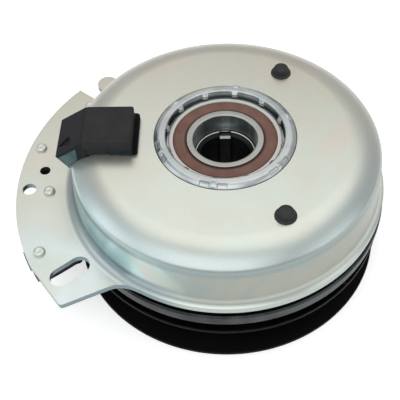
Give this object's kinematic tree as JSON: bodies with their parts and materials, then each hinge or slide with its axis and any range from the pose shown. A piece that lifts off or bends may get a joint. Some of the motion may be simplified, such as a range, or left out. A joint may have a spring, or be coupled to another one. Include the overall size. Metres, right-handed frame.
{
  "type": "electromagnetic clutch",
  "caption": "Shaft-mounted electromagnetic clutch and brake: still coil cup with an ear and connector, keyed rotor, lifting armature and a V-belt pulley on its own bearing.",
  "frame": {"origin": "on the shaft axis, in the plane of the field bearing's upper face, where the engine shaft's shoulder seats", "axes": "+Z along the shaft, from the pulley to the coil cup; -X towards the middle of the ear; the hub's key is at +Y"},
  "size_m": [0.2107, 0.181, 0.0916],
  "materials": {
    "zinc_sheet": "zinc-plated pressed steel, pale with a faint rainbow tint",
    "zinc_rivet": "zinc-plated rivet head",
    "turned_steel": "turned and staked steel, bright",
    "coil_plastic": "black moulded nylon",
    "copper_wire": "enamelled copper winding",
    "peg_plastic": "black moulded peg, satin",
    "connector_plastic": "charcoal moulded housing, satin",
    "terminal_brass": "tinned brass blade",
    "brake_black": "black painted steel plate",
    "magnet": "dull ferrite",
    "seal_rubber": "red-brown moulded bearing seal",
    "ball_steel": "polished ball",
    "cage_brass": "machined cage",
    "bearing_steel": "ground bearing steel",
    "friction_lining": "moulded friction lining",
    "dark_steel": "dark machined steel",
    "key_steel": "ground key steel",
    "pulley_paint": "black satin paint",
    "armature_steel": "dark bare steel with a lighter edge",
    "spring_steel": "blued spring steel"
  },
  "bodies": {
    "field": {"field_shell": "zinc_sheet", "field_inner_pole": "turned_steel", "coil_bobbin": "coil_plastic", "coil_winding": "copper_wire", "coil_potting": "coil_plastic", "coil_peg_1": "peg_plastic", "coil_peg_2": "peg_plastic", "connector_housing": "connector_plastic", "connector_terminal_1": "terminal_brass", "connector_terminal_2": "terminal_brass", "brake_backing_bar": "brake_black", "brake_shoe": "brake_black", "brake_magnet_1": "magnet", "brake_magnet_2": "magnet", "brake_rivet_1": "zinc_rivet", "brake_rivet_2": "zinc_rivet", "brake_rivet_3": "zinc_rivet", "brake_rivet_4": "zinc_rivet", "field_bearing_outer_ring": "bearing_steel", "field_bearing_seal_upper": "seal_rubber", "field_bearing_seal_lower": "seal_rubber"},
    "field_ball_set": {"field_bearing_cage": "cage_brass", "field_bearing_ball_1": "ball_steel", "field_bearing_ball_2": "ball_steel", "field_bearing_ball_3": "ball_steel", "field_bearing_ball_4": "ball_steel", "field_bearing_ball_5": "ball_steel", "field_bearing_ball_6": "ball_steel", "field_bearing_ball_7": "ball_steel"},
    "rotor": {"rotor_hub": "dark_steel", "hub_key": "key_steel", "rotor_disc": "dark_steel", "rotor_friction_ring": "friction_lining", "field_bearing_inner_ring": "bearing_steel", "pulley_bearing_inner_ring": "bearing_steel", "pulley_bearing_clip": "dark_steel"},
    "pulley_ball_set": {"pulley_bearing_cage": "cage_brass", "pulley_bearing_ball_1": "ball_steel", "pulley_bearing_ball_2": "ball_steel", "pulley_bearing_ball_3": "ball_steel", "pulley_bearing_ball_4": "ball_steel", "pulley_bearing_ball_5": "ball_steel", "pulley_bearing_ball_6": "ball_steel", "pulley_bearing_ball_7": "ball_steel"},
    "output_pulley": {"pulley": "pulley_paint", "pulley_bearing_outer_ring": "bearing_steel", "pulley_bearing_seal_upper": "seal_rubber", "pulley_bearing_seal_lower": "seal_rubber", "armature_spring_1": "spring_steel", "armature_spring_2": "spring_steel", "armature_spring_3": "spring_steel", "pulley_rivet_1": "spring_steel", "pulley_rivet_2": "spring_steel", "pulley_rivet_3": "spring_steel"},
    "armature": {"armature_plate": "armature_steel", "armature_rivet_1": "spring_steel", "armature_rivet_2": "spring_steel", "armature_rivet_3": "spring_steel"}
  },
  "joints": [
    {"name": "rotor_spin", "type": "hinge", "parent": "field", "child": "rotor", "pos_m": [0, 0, -0.01], "axis": [0, 0, 1], "continuous": true},
    {"name": "field_ball_orbit", "type": "hinge", "parent": "field", "child": "field_ball_set", "pos_m": [0, 0, -0.01], "axis": [0, 0, 1], "continuous": true},
    {"name": "pulley_spin", "type": "hinge", "parent": "rotor", "child": "output_pulley", "pos_m": [0, 0, -0.052], "axis": [0, 0, 1], "continuous": true},
    {"name": "pulley_ball_orbit", "type": "hinge", "parent": "rotor", "child": "pulley_ball_set", "pos_m": [0, 0, -0.052], "axis": [0, 0, 1], "continuous": true},
    {"name": "armature_lift", "type": "slide", "parent": "output_pulley", "child": "armature", "axis": [0, 0, 1], "range_m": [0, 0.00038], "stiffness_N_per_m": 20000, "deforming": ["armature_spring_1", "armature_spring_2", "armature_spring_3"]}
  ],
  "couplings": [
    {"joint": "field_ball_orbit", "follows": "rotor_spin", "ratio": 0.4143},
    {"joint": "pulley_ball_orbit", "follows": "pulley_spin", "ratio": 0.5857}
  ]
}
